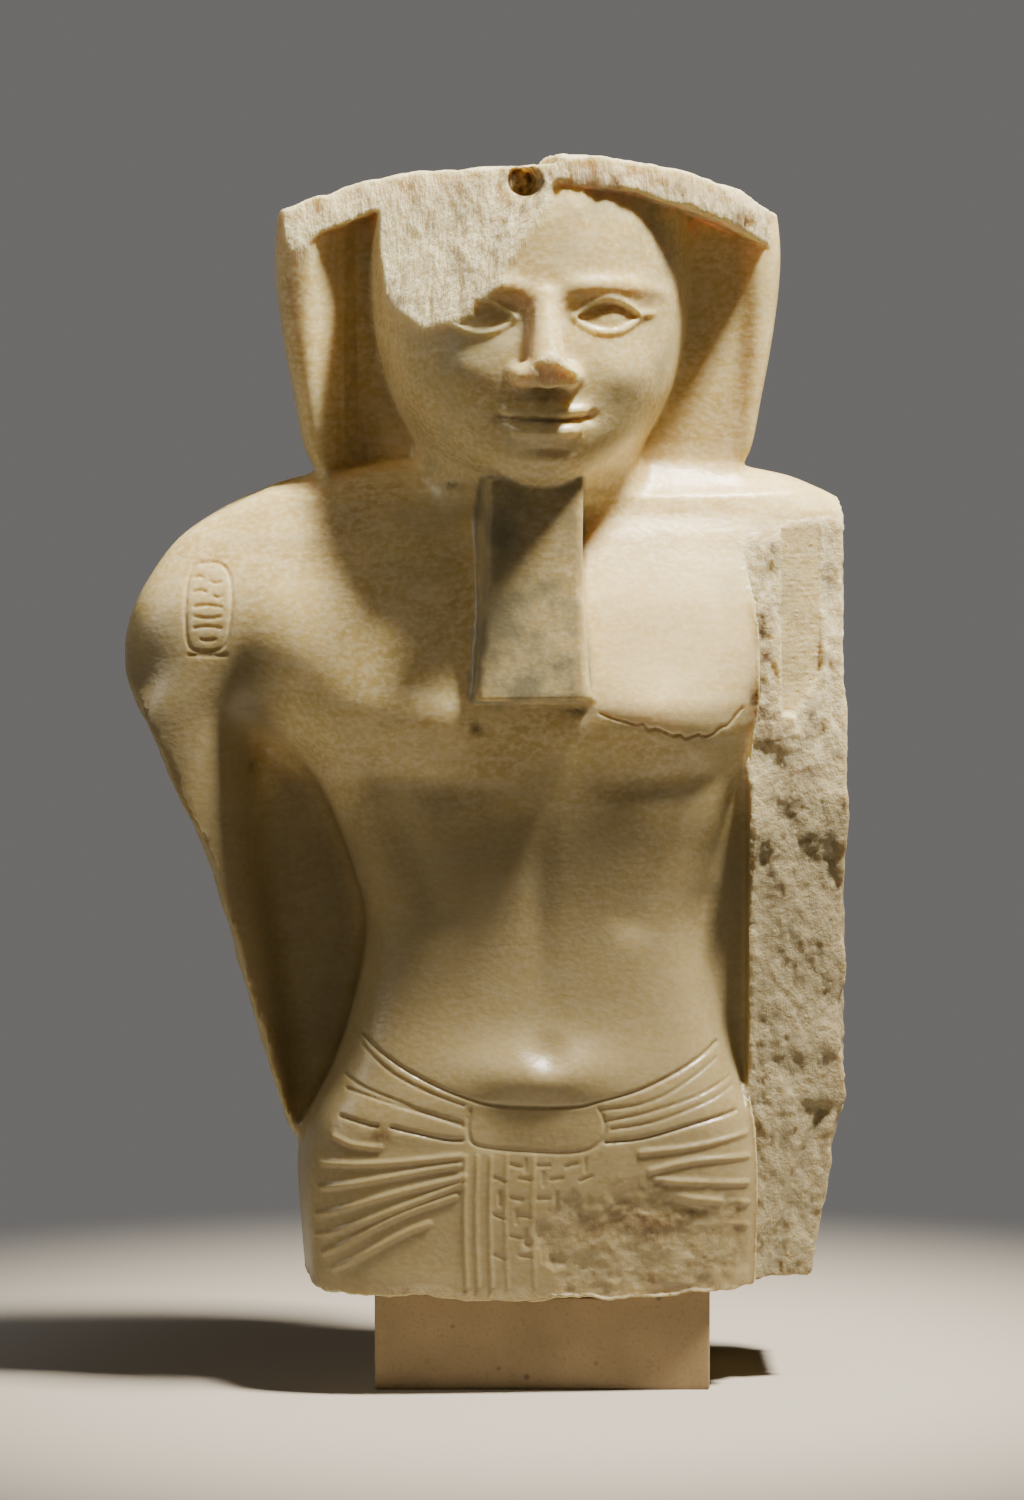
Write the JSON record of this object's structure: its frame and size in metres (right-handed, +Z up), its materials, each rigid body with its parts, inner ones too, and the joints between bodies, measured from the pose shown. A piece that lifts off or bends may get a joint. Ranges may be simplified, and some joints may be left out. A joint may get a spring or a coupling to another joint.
{
  "type": "statue fragment",
  "caption": "Broken upper part of a royal standard-bearer statue in carved stone, with headcloth, beard and pleated kilt, standing on a small rectangular stone block.",
  "frame": {"origin": "centre of the support block's flat underside", "axes": "+Z up, the figure faces -Y, +X is at the viewer's right of someone who faces the figure"},
  "size_m": [0.1579, 0.0879, 0.2643],
  "materials": {
    "travertine": "cream banded travertine, worn polish, rough where broken",
    "limestone": "beige limestone, honed"
  },
  "bodies": {
    "root": {"standard_bearer": "travertine", "support_block": "limestone"}
  },
  "joints": []
}
